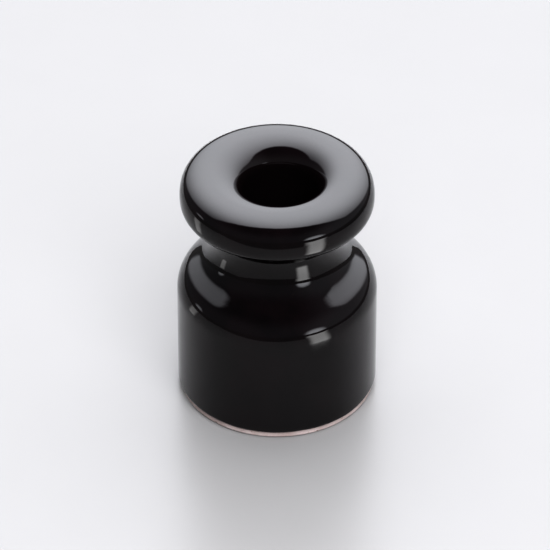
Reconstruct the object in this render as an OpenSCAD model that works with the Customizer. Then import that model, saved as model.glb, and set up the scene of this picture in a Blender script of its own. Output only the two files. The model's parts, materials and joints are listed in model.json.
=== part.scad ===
// Glazed porcelain knob insulator: a screw-down post with a round head and one wire groove.
// Millimetres, +Z up, origin at the centre of the base on the surface that it stands on.

/* [Base] */
// Diameter of the glazed base
base_d = 20; // [19.6:0.1:20.6]
// Height of the base's straight side
side_h = 11.6; // [10.8:0.1:11.8]
// Radius of the rounding between the side and the shoulder
shoulder_round_r = 3.6; // [3.2:0.1:3.8]
// Slope of the shoulder in degrees
shoulder_slope = 40; // [38:1:42]
// Height of the bare porcelain foot
foot_h = 0.5; // [0.4:0.1:1.5]
// Rounding of the foot's lower edge
foot_round = 0.2; // [0.1:0.05:0.35]

/* [Wire groove] */
// Diameter at the bottom of the groove
neck_d = 12.8; // [12.4:0.1:12.9]
// Height of the groove's straight wall
neck_wall_h = 0.2; // [0.1:0.1:0.7]
// Radius of the fillet between shoulder and neck
low_fillet_r = 3.9; // [3.4:0.1:4.2]
// Width of the fillet between neck and head
high_fillet_w = 2.4; // [1:0.1:2.4]

/* [Head] */
// Diameter of the head
head_d = 19.3; // [19:0.1:20]
// Height of the head's top above the surface
top_z = 25.8; // [25.5:0.1:27]
// Diameter of the ring where the head is highest
crown_d = 13.2; // [12.6:0.1:14]
// Height from the head's widest ring to its top
rim_upper_h = 2.8; // [2.5:0.1:3]
// Fullness of the rounding from the widest ring to the crown: 2 is an ellipse, more is squarer
rim_fullness = 2.6; // [2:0.1:3]
// Height from the head's widest ring to its underside
rim_lower_h = 1.2; // [1:0.1:1.4]
// Width of the rounding below the head's widest ring
rim_lower_w = 0.6; // [0.5:0.05:0.65]

/* [Screw bore] */
// Diameter of the pocket that takes the screw's head
pocket_d = 7.4; // [7.3:0.1:8.2]
// Depth of the rounded mouth that leads into the pocket
mouth_h = 2.4; // [1:0.1:3.2]
// Height of the seat under the screw's head
seat_z = 11; // [6:0.5:14]
// Diameter of the hole for the screw's shank
screw_hole_d = 4.8; // [4:0.1:5]

/* [Underside] */
// Diameter of the hollow under the base
hollow_d = 12.4; // [8:0.2:15]
// Depth of the hollow under the base
hollow_h = 1; // [0.4:0.1:2]

/* [Glaze] */
// Thickness of the glaze
glaze_t = 0.25; // [0.15:0.05:0.3]
// Height of the rounded bead where the glaze ends
bead_h = 0.35; // [0.2:0.05:0.5]

/* [Hidden] */
$fn = 96;

base_r = base_d / 2;
neck_r = neck_d / 2;
head_r = head_d / 2;
crown_r = crown_d / 2;
pocket_r = pocket_d / 2;
screw_hole_r = screw_hole_d / 2;
hollow_r = hollow_d / 2;

// Angle round the shoulder's rounding and the neck's fillet at which they run into the slope
slope_a = 90 - shoulder_slope;
shoulder_edge_r = base_r - shoulder_round_r * (1 - cos(slope_a));
fillet_edge_r = neck_r + low_fillet_r * (1 - cos(slope_a));
slope_rise = (shoulder_edge_r - fillet_edge_r) * tan(shoulder_slope);

// Heights of the turning points, worked up from the shoulder and down from the top
neck_low_z = side_h + (shoulder_round_r + low_fillet_r) * sin(slope_a) + slope_rise;
neck_high_z = neck_low_z + neck_wall_h;
rim_z = top_z - rim_upper_h;
underside_z = rim_z - rim_lower_h;
high_fillet_h = underside_z - neck_high_z;

// Radius where the glaze on the seat stops, a little outside the screw hole
seat_glaze_r = screw_hole_r + 0.3;
// Rounding between the pocket's wall and the seat
pocket_corner = 0.4;

function signed_power(v, exponent) = sign(v) * pow(abs(v), exponent);

// Points of an oval arc about centre c with half-axes a and b, from angle a0 to a1. It is part of an
// ellipse when fullness is 2, and squarer when it is more.
function arc(c, a, b, a0, a1, steps, fullness = 2) =
    [for (i = [0:steps])
        let (t = a0 + (a1 - a0) * i / steps, x = signed_power(cos(t), 2 / fullness),
            y = signed_power(sin(t), 2 / fullness))
        c + [a * x, b * y]];

// A list without its first point, for an arc that goes on from the end of the arc before it
function rest(list) = [for (i = [1:len(list) - 1]) list[i]];

// Half outline of the glazed surface moved inward by t, from the base up, over the head and down
// to the foot of the screw pocket. Bulges shrink by t and hollows grow by t.
function outline(t) = concat(
    arc([base_r - shoulder_round_r, side_h], shoulder_round_r - t, shoulder_round_r - t, 0, slope_a, 10),
    arc([neck_r + low_fillet_r, neck_low_z], low_fillet_r + t, low_fillet_r + t,
        180 + slope_a, 180, 12),
    arc([neck_r + high_fillet_w, neck_high_z], high_fillet_w + t, high_fillet_h + t, 180, 90, 10),
    arc([head_r - rim_lower_w, rim_z], rim_lower_w - t, rim_lower_h - t, 270, 360, 8),
    rest(arc([crown_r, rim_z], head_r - crown_r - t, rim_upper_h - t, 0, 90, 16, rim_fullness)),
    rest(arc([crown_r, top_z - mouth_h], crown_r - pocket_r - t, mouth_h - t, 90, 180, 14)),
    arc([pocket_r - pocket_corner, seat_z + pocket_corner],
        pocket_corner + t, pocket_corner + t, 0, -90, 5)
);

function reversed(list) = [for (i = [len(list) - 1:-1:0]) list[i]];

// Fired porcelain: bare at the foot, in the hollow below and in the screw hole
module porcelain_body() {
    foot_r = base_r - glaze_t;
    half_section = concat(
        [[screw_hole_r, hollow_h], [hollow_r - hollow_h, hollow_h], [hollow_r, 0]],
        arc([foot_r - foot_round, foot_round], foot_round, foot_round, -90, 0, 4),
        outline(glaze_t),
        [[screw_hole_r, seat_z - glaze_t]]
    );
    color([0.86, 0.80, 0.77]) rotate_extrude() polygon(half_section);
}

// Black glaze: one closed skin from the bead above the foot to the screw's seat
module glaze_coat() {
    foot_bead = arc([base_r - glaze_t, foot_h + bead_h], glaze_t, bead_h, -90, 0, 5);
    seat_bead = arc([seat_glaze_r + glaze_t, seat_z - glaze_t], glaze_t, glaze_t, 90, 180, 4);
    color([0.02, 0.02, 0.022]) rotate_extrude()
        polygon(concat(foot_bead, outline(0), seat_bead, reversed(outline(glaze_t))));
}

porcelain_body();
glaze_coat();
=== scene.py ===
"""A small black glazed porcelain knob insulator standing on a pale studio table."""
import json
import math

import bpy
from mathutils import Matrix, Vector, noise


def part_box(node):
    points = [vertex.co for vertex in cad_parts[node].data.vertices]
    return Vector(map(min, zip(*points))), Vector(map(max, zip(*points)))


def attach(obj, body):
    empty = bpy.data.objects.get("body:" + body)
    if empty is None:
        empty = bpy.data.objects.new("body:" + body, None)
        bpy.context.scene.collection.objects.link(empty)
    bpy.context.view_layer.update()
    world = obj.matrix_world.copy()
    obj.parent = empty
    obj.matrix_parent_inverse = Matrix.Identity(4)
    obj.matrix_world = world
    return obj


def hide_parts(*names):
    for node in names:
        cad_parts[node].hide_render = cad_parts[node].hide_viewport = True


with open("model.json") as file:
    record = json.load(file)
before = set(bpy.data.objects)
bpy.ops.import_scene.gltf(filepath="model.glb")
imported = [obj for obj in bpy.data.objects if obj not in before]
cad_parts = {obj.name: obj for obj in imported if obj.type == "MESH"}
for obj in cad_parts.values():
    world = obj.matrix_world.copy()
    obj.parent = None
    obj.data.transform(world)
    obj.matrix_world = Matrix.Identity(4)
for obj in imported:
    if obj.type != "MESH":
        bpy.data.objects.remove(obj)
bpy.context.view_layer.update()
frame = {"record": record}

MM = 0.001
# Steps round each piece
SEGMENTS = 240

# ---------------------------------------------------------------- sizes, in millimetres
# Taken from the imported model
MOUNTS = {m["name"]: m for m in frame["record"]["mounts"]}
BASE_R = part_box("glaze_coat")[1][0] / MM
TOP_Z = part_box("glaze_coat")[1][2] / MM
FOOT_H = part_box("glaze_coat")[0][2] / MM
FOOT_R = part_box("porcelain_body")[1][0] / MM
GLAZE_T = BASE_R - FOOT_R
POCKET_R = MOUNTS["head_pocket"]["dims"]["r_mm"]
SCREW_HOLE_R = MOUNTS["screw_hole"]["dims"]["r_mm"]
SEAT_Z = MOUNTS["screw_seat"]["pos_m"][2] / MM

# The outline between them, as in the CAD source. The slope is in degrees.
SIDE_H = 11.6
SHOULDER_ROUND_R = 3.6
SHOULDER_SLOPE = 40
NECK_R = 6.4
NECK_WALL_H = 0.2
LOW_FILLET_R = 3.9
HIGH_FILLET_W = 2.4
HEAD_R = 9.65
CROWN_R = 6.6
RIM_UPPER_H = 2.8
RIM_FULLNESS = 2.6
RIM_LOWER_W, RIM_LOWER_H = 0.6, 1.2
MOUTH_H = 2.4
POCKET_CORNER = 0.4
HOLLOW_R, HOLLOW_H = 6.2, 1.0
FOOT_ROUND = 0.2
BEAD_H = 0.35
SEAT_GLAZE_R = SCREW_HOLE_R + 0.3

# Longest stretch between two rings of the mesh, for the glaze's outside and for its back
GLAZE_STEP, GLAZE_BACK_STEP = 0.28, 1.0
# The same for the porcelain: where it is bare, where glaze covers it and in the screw hole
BARE_STEP, COVERED_STEP, BORE_STEP = 0.15, 0.6, 0.3


# ---------------------------------------------------------------- outlines
def signed_power(v, exponent):
    return math.copysign(abs(v) ** exponent, v)


def arc(centre, a, b, a0, a1, steps, fullness=2):
    """Points (radius, height) of an oval arc with half-axes a and b, from angle a0 to a1 in degrees.

    It is part of an ellipse when fullness is 2, and squarer when it is more.
    """
    points = []
    for i in range(steps + 1):
        t = math.radians(a0 + (a1 - a0) * i / steps)
        x = a * signed_power(math.cos(t), 2 / fullness)
        y = b * signed_power(math.sin(t), 2 / fullness)
        points.append((centre[0] + x, centre[1] + y))
    return points


def outline(t):
    """The glazed half outline moved inward by t, from the base, over the head and down to the seat."""
    slope_a = 90 - SHOULDER_SLOPE
    a = math.radians(slope_a)
    slope_width = BASE_R - NECK_R - (SHOULDER_ROUND_R + LOW_FILLET_R) * (1 - math.cos(a))
    neck_low = SIDE_H + (SHOULDER_ROUND_R + LOW_FILLET_R) * math.sin(a) + slope_width / math.tan(a)
    neck_high = neck_low + NECK_WALL_H
    rim_z = TOP_Z - RIM_UPPER_H
    high_fillet_h = rim_z - RIM_LOWER_H - neck_high
    shoulder_r, low_fillet_r, corner_r = SHOULDER_ROUND_R - t, LOW_FILLET_R + t, POCKET_CORNER + t
    return (
        arc((BASE_R - SHOULDER_ROUND_R, SIDE_H), shoulder_r, shoulder_r, 0, slope_a, steps=16)
        + arc((NECK_R + LOW_FILLET_R, neck_low), low_fillet_r, low_fillet_r, 180 + slope_a, 180, steps=18)
        + arc((NECK_R + HIGH_FILLET_W, neck_high), HIGH_FILLET_W + t, high_fillet_h + t, 180, 90, steps=18)
        + arc((HEAD_R - RIM_LOWER_W, rim_z), RIM_LOWER_W - t, RIM_LOWER_H - t, 270, 360, steps=12)
        + arc((CROWN_R, rim_z), HEAD_R - CROWN_R - t, RIM_UPPER_H - t, 0, 90, 36, RIM_FULLNESS)
        + arc((CROWN_R, TOP_Z - MOUTH_H), CROWN_R - POCKET_R - t, MOUTH_H - t, 90, 180, steps=24)
        + arc((POCKET_R - POCKET_CORNER, SEAT_Z + POCKET_CORNER), corner_r, corner_r, 0, -90, steps=6)
    )


def refined(points, longest):
    """The same outline with no doubled point and no stretch longer than longest."""
    doubled = 1e-6
    fine = [points[0]]
    for p in points[1:]:
        q = fine[-1]
        gap = math.dist(p, q)
        if gap < doubled:
            continue
        n = math.ceil(gap / longest)
        fine += [(q[0] + (p[0] - q[0]) * i / n, q[1] + (p[1] - q[1]) * i / n) for i in range(1, n + 1)]
    return fine


def extended(section, points, longest):
    """The section and, after it, the refined stretch from its end through the points."""
    return section + refined([section[-1]] + points, longest)[1:]


def add_object(name, data):
    """A new object in the scene, with the given mesh, lamp or camera."""
    thing = bpy.data.objects.new(name, data)
    bpy.context.collection.objects.link(thing)
    return thing


def revolve(name, section, shape):
    """A closed body of revolution, each point of which shape(position, outward normal) then moves.

    shape works in millimetres and returns the finished position. section runs round the body's half
    section with the solid on its left. Angle 0 faces the front, -Y.
    """
    count = len(section)
    normals = []
    for i, _ in enumerate(section):
        dr = section[(i + 1) % count][0] - section[i - 1][0]
        dz = section[(i + 1) % count][1] - section[i - 1][1]
        length = math.hypot(dr, dz)
        normals.append((dz / length, -dr / length))
    verts = []
    for j in range(SEGMENTS):
        s, c = math.sin(math.tau * j / SEGMENTS), math.cos(math.tau * j / SEGMENTS)
        for (r, z), (nr, nz) in zip(section, normals):
            place = shape(Vector((r * s, -r * c, z)), Vector((nr * s, -nr * c, nz)))
            verts.append(place * MM)
    faces = []
    for j in range(SEGMENTS):
        a, b = j * count, (j + 1) % SEGMENTS * count
        for i in range(count):
            k = (i + 1) % count
            faces.append((a + i, b + i, b + k, a + k))
    mesh = bpy.data.meshes.new(name)
    mesh.from_pydata(verts, [], faces)
    mesh.polygons.foreach_set("use_smooth", [True] * len(faces))
    mesh.update()
    return add_object(name, mesh)


# ---------------------------------------------------------------- surface shapes
# The pressed bore leans to the right by this much in its upper part
BORE_LEAN = 0.3
# Heights above the seat where the lean begins and where it is full, and how far inside the crown it ends
LEAN_FROM, LEAN_FULL, LEAN_END = 2, 8, 0.4

# Each pattern of noise is read at an offset of its own, so that no two are alike
FLOW_DEPTH, FLOW_SIZE = 0.012, 4.2
RIPPLE_DEPTH, RIPPLE_SIZE, RIPPLE_OFFSET = 0.004, 1.3, 1.9
# How far up the base the wandering of the glaze's edge is felt, and how much it wanders
EDGE_REACH = 3.0
EDGE_WANDER = 0.34
# The wandering is broad lobes and a narrower wobble: share, size against the base's radius, and offset
LOBE_SHARE, LOBE_SIZE, LOBE_OFFSET = 0.7, 0.625, 0.37
WOBBLE_SHARE, WOBBLE_SIZE, WOBBLE_OFFSET = 0.3, 0.22, 2.3

# The porcelain's surface detail goes up to this height, a little behind the glaze
BARE_TO = FOOT_H + 1.5
GRAIN_DEPTH, GRAIN_SIZE, GRAIN_OFFSET = 0.010, 0.35, 0.6
# Turning marks on the face that it stands on, which is below this height and within this radius
FACE_TO, FACE_R = 0.05, FOOT_R - 1
RING_DEPTH, RING_PITCH = 0.025, 0.55
RING_PATCH_SIZE, RING_PATCH_OFFSET = 3.0, 1.1
# Chips are where the noise is over CHIP_LEVEL, close to the foot's outer edge and below the glaze
CHIP_DEPTH, CHIP_SIZE, CHIP_OFFSET = 0.35, 1.1, 4.1
CHIP_LEVEL = 0.7
CHIP_R_FROM, CHIP_R_FULL = FOOT_R - 1.0, FOOT_R - 0.2
CHIP_Z_FULL, CHIP_Z_TO = 0.1, 0.35


def smooth_step(x):
    x = min(max(x, 0.0), 1.0)
    return x * x * (3 - 2 * x)


def rise(x, start, end):
    """Goes smoothly from 0 at start to 1 at end."""
    return smooth_step((x - start) / (end - start))


def unit_noise(p, size, offset=0.0):
    """Smooth noise from 0 to 1 with features of about the given size."""
    place = p / size + Vector((offset, 3 * offset, 7 * offset))
    return min(max(0.5 + 0.5 * noise.noise(place), 0.0), 1.0)


def leaned(p):
    """The place after the bore's lean, which fades out towards the crown and the screw's seat."""
    radius = math.hypot(p.x, p.y)
    lean = BORE_LEAN * rise(p.z, SEAT_Z + LEAN_FROM, SEAT_Z + LEAN_FULL)
    lean *= 1 - rise(radius, POCKET_R, CROWN_R - LEAN_END)
    return p + Vector((lean, 0, 0))


def glaze_shape(p, n):
    """Fired glaze lies in slow waves with a fine ripple on them, and its lower edge wanders."""
    sunk = FLOW_DEPTH * unit_noise(p, FLOW_SIZE) + RIPPLE_DEPTH * unit_noise(p, RIPPLE_SIZE, RIPPLE_OFFSET)
    q = leaned(p) - n * sunk
    near_edge = 1 - rise(p.z, FOOT_H, FOOT_H + EDGE_REACH)
    if near_edge > 0:
        around = Vector((p.x, p.y, 0)).normalized()
        lobe = unit_noise(around, LOBE_SIZE, LOBE_OFFSET)
        wobble = unit_noise(around, WOBBLE_SIZE, WOBBLE_OFFSET)
        q.z += near_edge * EDGE_WANDER * (LOBE_SHARE * lobe + WOBBLE_SHARE * wobble)
    return q


def bisque_shape(p, n):
    """Bare porcelain is finely grained, with turning marks on its standing face and chips round the foot."""
    if p.z > BARE_TO:
        return leaned(p)
    radius = math.hypot(p.x, p.y)
    sunk = GRAIN_DEPTH * unit_noise(p, GRAIN_SIZE, GRAIN_OFFSET)
    if p.z < FACE_TO and radius < FACE_R:
        ring = 0.5 + 0.5 * math.sin(math.tau * radius / RING_PITCH)
        sunk += RING_DEPTH * ring * unit_noise(p, RING_PATCH_SIZE, RING_PATCH_OFFSET)
    foot = rise(radius, CHIP_R_FROM, CHIP_R_FULL) * (1 - rise(p.z, CHIP_Z_FULL, CHIP_Z_TO))
    sunk += CHIP_DEPTH * foot * rise(unit_noise(p, CHIP_SIZE, CHIP_OFFSET), CHIP_LEVEL, 1.0)
    return p - n * sunk


# ---------------------------------------------------------------- node trees
class Nodes:
    """Short ways to add and join the nodes of one tree."""

    def __init__(self, tree):
        self.tree = tree

    def add(self, kind, outlet, inputs, **settings):
        """A node with its inputs fed from sockets or set to values; returns the named outlet."""
        node = self.tree.nodes.new("ShaderNode" + kind)
        for key, value in settings.items():
            setattr(node, key, value)
        for key, value in inputs.items():
            self.feed(node.inputs[key], value)
        return node.outputs[outlet]

    def feed(self, socket, value):
        if isinstance(value, bpy.types.NodeSocket):
            self.tree.links.new(value, socket)
        else:
            socket.default_value = value

    def noise(self, place, size, detail=2.0):
        """Noise with features of about the given size in millimetres."""
        inputs = {"Vector": place, "Scale": 1 / (size * MM), "Detail": detail}
        return self.add("TexNoise", "Fac", inputs)

    def ramp(self, value, start, end, low=0.0, high=1.0):
        """Goes smoothly from low where the value is start to high where it is end."""
        inputs = {"Value": value, "From Min": start, "From Max": end, "To Min": low, "To Max": high}
        return self.add("MapRange", "Result", inputs, interpolation_type="SMOOTHSTEP")

    def patches(self, place, size, detail, start, end, low=0.0, high=1.0):
        """Noise through a ramp: low where it is under start and high where it is over end."""
        return self.ramp(self.noise(place, size, detail), start, end, low, high)

    def math(self, operation, a, b):
        return self.add("Math", "Value", {0: a, 1: b}, operation=operation)

    def blend(self, factor, a, b):
        """Colour a where the factor is 0 and colour b where it is 1."""
        return self.add("MixRGB", "Color", {"Fac": factor, "Color1": a, "Color2": b})

    def bump(self, height, strength, depth):
        """A normal from a height. Depth is in millimetres."""
        return self.add("Bump", "Normal", {"Height": height, "Strength": strength, "Distance": depth * MM})


def new_material(name):
    material = bpy.data.materials.new(name)
    material.use_nodes = True
    return material, Nodes(material.node_tree), material.node_tree.nodes["Principled BSDF"].inputs


def place_on_piece(nodes):
    """The place on the piece in metres, its distance from the axis and its height."""
    place = nodes.add("TexCoord", "Object", {})
    flat = nodes.add("VectorMath", "Vector", {0: place, 1: (1, 1, 0)}, operation="MULTIPLY")
    radius = nodes.add("VectorMath", "Value", {0: flat}, operation="LENGTH")
    height = nodes.add("SeparateXYZ", "Z", {"Vector": place})
    return place, radius, height


# ---------------------------------------------------------------- materials
def black_glaze():
    """Glossy black, a little paler where it thins at its lower edge, with painted light that lifts the dark
    inside the bore, a faint orange peel and rare pinholes.
    """
    usual, deep = (0.0022, 0.0011, 0.0014, 1), (0.0010, 0.0005, 0.0007, 1)
    # The first colour here serves the glaze thinning at its lower edge and also painted light inside the
    # bore
    thin_glaze_and_bore_light, in_pinhole = (0.0026, 0.0016, 0.0017, 1), (0.010, 0.008, 0.007, 1)
    # Distances from the axis between which the painted light inside the bore comes in, and heights above the
    # glaze's edge between which the glaze thins out
    bore_from, bore_to = 4.6, 3.8
    edge_from, edge_to = 1.1, 0.1
    smoothest, dullest, pinhole_dulls = 0.028, 0.055, 0.12
    peel_size, peel_strength, peel_depth, pinhole_dip = 0.9, 0.25, 0.02, 0.4
    material, nodes, shader = new_material("black_glaze")
    place, radius, height = place_on_piece(nodes)
    pooled = nodes.patches(place, size=4.0, detail=3.0, start=0.35, end=0.65)
    colour = nodes.blend(pooled, usual, deep)
    # Painted light: the inside of the bore gets the paler colour to lift its dark
    painted_bore_light = nodes.ramp(radius, bore_from * MM, bore_to * MM)
    at_edge = nodes.ramp(height, (FOOT_H + edge_from) * MM, (FOOT_H + edge_to) * MM)
    thin_edge_and_bore_light = nodes.math("MAXIMUM", painted_bore_light, at_edge)
    colour = nodes.blend(thin_edge_and_bore_light, colour, thin_glaze_and_bore_light)
    pinholes = nodes.patches(place, size=0.45, detail=1.0, start=0.78, end=0.83)
    colour = nodes.blend(pinholes, colour, in_pinhole)
    nodes.feed(shader["Base Color"], colour)
    gloss = nodes.patches(place, 2.6, detail=4.0, start=0.3, end=0.7, low=smoothest, high=dullest)
    dulled = nodes.math("MULTIPLY", pinholes, pinhole_dulls)
    nodes.feed(shader["Roughness"], nodes.math("ADD", gloss, dulled))
    dips = nodes.math("MULTIPLY", pinholes, pinhole_dip)
    peel = nodes.math("SUBTRACT", nodes.noise(place, peel_size), dips)
    nodes.feed(shader["Normal"], nodes.bump(peel, peel_strength, peel_depth))
    nodes.feed(shader["IOR"], 1.5)
    return material


def bare_porcelain():
    """Matt fired porcelain: grainy, with iron specks, and stained where the glaze begins."""
    pale, darker = (0.32, 0.270, 0.255, 1), (0.25, 0.205, 0.19, 1)
    in_grain, grain_share = (0.19, 0.145, 0.13, 1), 0.30
    stain, stain_share = (0.13, 0.09, 0.08, 1), 0.5
    iron = (0.10, 0.055, 0.04, 1)
    # Heights between which the stain comes in
    stain_from, stain_to = FOOT_H * 0.8, FOOT_H + 0.4
    smoothest, roughest = 0.72, 0.92
    grain_size, grain_strength, grain_depth = 0.12, 0.5, 0.03
    material, nodes, shader = new_material("bisque")
    place, _, height = place_on_piece(nodes)
    mottle = nodes.patches(place, size=2.4, detail=4.0, start=0.35, end=0.65)
    colour = nodes.blend(mottle, pale, darker)
    grain = nodes.noise(place, grain_size, detail=3.0)
    colour = nodes.blend(nodes.ramp(grain, start=0.35, end=0.75, high=grain_share), colour, in_grain)
    by_glaze = nodes.ramp(height, stain_from * MM, stain_to * MM, high=stain_share)
    colour = nodes.blend(by_glaze, colour, stain)
    specks = nodes.patches(place, size=0.35, detail=1.0, start=0.68, end=0.73)
    colour = nodes.blend(specks, colour, iron)
    nodes.feed(shader["Base Color"], colour)
    nodes.feed(shader["Roughness"], nodes.ramp(grain, 0.3, 0.7, low=smoothest, high=roughest))
    nodes.feed(shader["Normal"], nodes.bump(grain, grain_strength, grain_depth))
    return material


# ---------------------------------------------------------------- pieces
def glaze_piece():
    foot_bead = arc((FOOT_R, FOOT_H + BEAD_H), GLAZE_T, BEAD_H, -90, 0, steps=8)
    seat_bead = arc((SEAT_GLAZE_R + GLAZE_T, SEAT_Z - GLAZE_T), GLAZE_T, GLAZE_T, 90, 180, steps=6)
    outside = refined(foot_bead + outline(0) + seat_bead, GLAZE_STEP)
    inside = refined(outline(GLAZE_T)[::-1], GLAZE_BACK_STEP)
    piece = revolve("glaze_skin", outside + inside, glaze_shape)
    piece.data.materials.append(black_glaze())
    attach(piece, "root")
    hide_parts("glaze_coat")


def porcelain_piece():
    below = [(SCREW_HOLE_R, HOLLOW_H), (HOLLOW_R - HOLLOW_H, HOLLOW_H), (HOLLOW_R, 0)]
    foot = arc((FOOT_R - FOOT_ROUND, FOOT_ROUND), FOOT_ROUND, FOOT_ROUND, -90, 0, steps=5)
    bare_wall = [(FOOT_R, BARE_TO)]
    bore = [(SCREW_HOLE_R, SEAT_Z - GLAZE_T), (SCREW_HOLE_R, HOLLOW_H)]
    section = refined(below + foot + bare_wall, BARE_STEP)
    section = extended(section, outline(GLAZE_T), COVERED_STEP)
    # The bore's last point is the section's first, which closes the loop
    section = extended(section, bore, BORE_STEP)[:-1]
    piece = revolve("bisque_body", section, bisque_shape)
    piece.data.materials.append(bare_porcelain())
    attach(piece, "root")
    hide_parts("porcelain_body")


glaze_piece()
porcelain_piece()


# ---------------------------------------------------------------- studio
# Half the width of the table and of its reflection, in metres
TABLE_REACH = 3.0


def level_sheet(name, height, material):
    """A square sheet, centred on the insulator's axis and facing up."""
    corners = [(x * TABLE_REACH, y * TABLE_REACH, height) for x, y in ((-1, -1), (1, -1), (1, 1), (-1, 1))]
    mesh = bpy.data.meshes.new(name)
    mesh.from_pydata(corners, [], [(0, 1, 2, 3)])
    mesh.materials.append(material)
    return add_object(name, mesh)


def table_top():
    """A pale table with a very slight sheen and an even, barely mottled colour."""
    darker, paler = (0.1185, 0.1160, 0.1120, 1), (0.1225, 0.1200, 0.1160, 1)
    mottle_size = 9.0
    material, nodes, shader = new_material("table_top")
    mottle = nodes.noise(nodes.add("TexCoord", "Object", {}), mottle_size)
    nodes.feed(shader["Base Color"], nodes.blend(mottle, darker, paler))
    nodes.feed(shader["Roughness"], 0.3)
    nodes.feed(shader["Specular IOR Level"], 0.36)
    level_sheet("table_top", 0, material)


def heading(azimuth):
    """Level direction from the insulator. Azimuth is in degrees, 0 at the back and 90 at the right."""
    a = math.radians(azimuth)
    return Vector((math.sin(a), math.cos(a), 0))


# Two small windows at the horizon, and their painted reflection on the table: azimuth and half width in
# degrees, and radiance
WINDOWS = {"right": (139, 9.5, 3.6), "left": (-86, 5, 1.5)}
# A window's edge is soft: full up to the first multiple of its half width, and gone at the second
WINDOW_FULL, WINDOW_GONE = 0.45, 1.5
# How near and how far the painted reflection of each window's light lies on the table, in metres
WINDOW_PATH = {"right": (0.0235, 0.13), "left": (0.031, 0.09)}


def in_window(nodes, direction, azimuth, half_width):
    """1 near the azimuth and 0 well over half_width degrees from it, for a direction of length 1."""
    along = nodes.add("VectorMath", "Value", {0: direction, 1: heading(azimuth)}, operation="DOT_PRODUCT")
    outside, inside = (math.cos(math.radians(half_width * k)) for k in (WINDOW_GONE, WINDOW_FULL))
    return nodes.ramp(along, outside, inside)


def room():
    """A big soft light behind and above, in a dim room with two small windows."""
    wall_radiance, ceiling_radiance = 0.21, 0.08
    right_radiance = 0.2
    # How far up, or to the right, a direction points where the change to another radiance starts and ends
    turn_from, turn_to = 0.3, 0.9
    peak_radiance = 5.15
    peak = (0.080, 0.493, 0.866)
    # The light's straight edges, each as the inward normal of a plane through the insulator
    edges = {"front": (0, 0.990, 0.140), "front_right": (-0.204, 0.886, 0.416),
             "left": (0.500, 0.370, 0.783), "right": (-0.430, 0.380, 0.819)}
    edge_softness = 0.06
    horizon_from, horizon_to = 0.0, 0.06
    world = bpy.data.worlds.new("room")
    world.use_nodes = True
    bpy.context.scene.world = world
    nodes = Nodes(world.node_tree)
    background = world.node_tree.nodes["Background"].inputs
    direction = nodes.add("TexCoord", "Generated", {})

    def along(axis):
        return nodes.add("VectorMath", "Value", {0: direction, 1: axis}, operation="DOT_PRODUCT")

    strength = nodes.math("MULTIPLY", along(peak), along(peak))
    strength = nodes.math("MULTIPLY", strength, peak_radiance)
    for normal in edges.values():
        strength = nodes.math("MULTIPLY", strength, nodes.ramp(along(normal), -edge_softness, edge_softness))
    upward = along((0, 0, 1))
    strength = nodes.math("MULTIPLY", strength, nodes.ramp(upward, horizon_from, horizon_to))
    for azimuth, half_width, radiance in WINDOWS.values():
        glow = nodes.math("MULTIPLY", in_window(nodes, direction, azimuth, half_width), radiance)
        strength = nodes.math("ADD", strength, glow)
    from_right = nodes.ramp(along((1, 0, 0)), turn_from, turn_to, high=right_radiance)
    strength = nodes.math("ADD", strength, from_right)
    dim = nodes.ramp(upward, turn_from, turn_to, wall_radiance, ceiling_radiance)
    nodes.feed(background["Color"], (0.970, 0.985, 1.035, 1))
    nodes.feed(background["Strength"], nodes.math("ADD", strength, dim))


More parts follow.
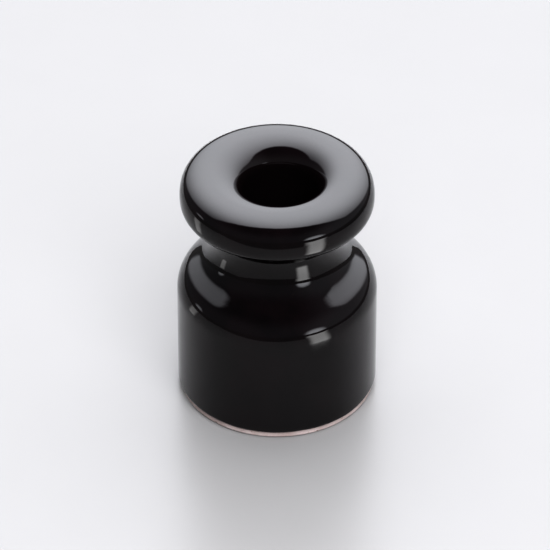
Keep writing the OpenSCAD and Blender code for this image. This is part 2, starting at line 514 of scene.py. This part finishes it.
def reflected_table():
    """A sheet just above the table, seen only in the glaze, with the table's reflection painted on it as
    glow: painted dark far off, and painted strips of light from the windows.

    Elsewhere it is clear, so that the real table shows. From below it is clear all over.
    """
    above = 0.0004
    dark_radiance = 0.17
    # Where the lit part of the table ends at the front, the back and each side, and how softly
    front, back, side, softness = -0.057, 0.105, 0.100, 0.006
    # How softly a window's painted light on the table begins, and the multiples of its far end over which it
    # fades
    near_softness, fade_from, fade_to = 0.003, 0.9, 1.1
    material = bpy.data.materials.new("reflected_table")
    material.use_nodes = True
    nodes = Nodes(material.node_tree)
    place = nodes.add("TexCoord", "Object", {})
    x, y = (nodes.add("SeparateXYZ", axis, {"Vector": place}) for axis in "XY")
    lit = nodes.math("MULTIPLY", nodes.ramp(y, front - softness, front + softness),
                     nodes.ramp(y, back + softness, back - softness))
    aside = nodes.math("ABSOLUTE", x, 0.0)
    lit = nodes.math("MULTIPLY", lit, nodes.ramp(aside, side + softness, side - softness))
    shown = nodes.math("SUBTRACT", 1.0, lit)
    radiance = nodes.math("MULTIPLY", shown, dark_radiance)
    direction = nodes.add("VectorMath", "Vector", {0: place}, operation="NORMALIZE")
    distance = nodes.add("VectorMath", "Value", {0: place}, operation="LENGTH")
    for name, (azimuth, half_width, window_radiance) in WINDOWS.items():
        near, far = WINDOW_PATH[name]
        path = nodes.math("MULTIPLY", nodes.ramp(distance, near - near_softness, near + near_softness),
                          nodes.ramp(distance, far * fade_to, far * fade_from))
        path = nodes.math("MULTIPLY", path, in_window(nodes, direction, azimuth, half_width))
        shown = nodes.math("MAXIMUM", shown, path)
        radiance = nodes.math("ADD", radiance, nodes.math("MULTIPLY", path, window_radiance))
    # Painted reflection: the sheet glows dark away from the lit table and with each window's light along its
    # strip
    glow = nodes.add("Emission", "Emission", {"Strength": radiance})
    clear = nodes.add("BsdfTransparent", "BSDF", {})
    from_above = nodes.math("SUBTRACT", 1.0, nodes.add("NewGeometry", "Backfacing", {}))
    cover = nodes.math("MULTIPLY", shown, from_above)
    mix = nodes.add("MixShader", "Shader", {"Fac": cover, 1: clear, 2: glow})
    nodes.feed(material.node_tree.nodes["Material Output"].inputs["Surface"], mix)
    material.node_tree.nodes.remove(material.node_tree.nodes["Principled BSDF"])
    card = level_sheet("reflected_table", above, material)
    card.visible_camera = False
    card.visible_diffuse = False
    card.visible_shadow = False


def fill_light():
    """A big soft lamp in front that opens the shadow on the table. The glaze doesn't mirror it."""
    data = bpy.data.lights.new("fill", "AREA")
    data.size = 0.5
    data.energy = 12.2
    data.color = (0.93, 0.945, 1.0)
    lamp = add_object("fill", data)
    lamp.location = (0.08, -0.36, 0.52)
    lamp.rotation_euler = lamp.location.to_track_quat("Z", "Y").to_euler()
    lamp.visible_glossy = False


def camera():
    """A long lens looking down at the front, as far away as the picture's mild perspective asks for."""
    distance = 0.5
    elevation = math.radians(38)
    target = Vector((-0.000205, 0, 0.01299))
    data = bpy.data.cameras.new("camera")
    data.sensor_width = 36
    data.lens = 327.9
    cam = add_object("camera", data)
    back = Vector((0, -math.cos(elevation), math.sin(elevation)))
    cam.location = target + back * distance
    cam.rotation_euler = (-back).to_track_quat("-Z", "Y").to_euler()
    bpy.context.scene.camera = cam


table_top()
room()
reflected_table()
fill_light()
camera()
picture = bpy.context.scene.view_settings
picture.view_transform = "Standard"
picture.look = "High Contrast"
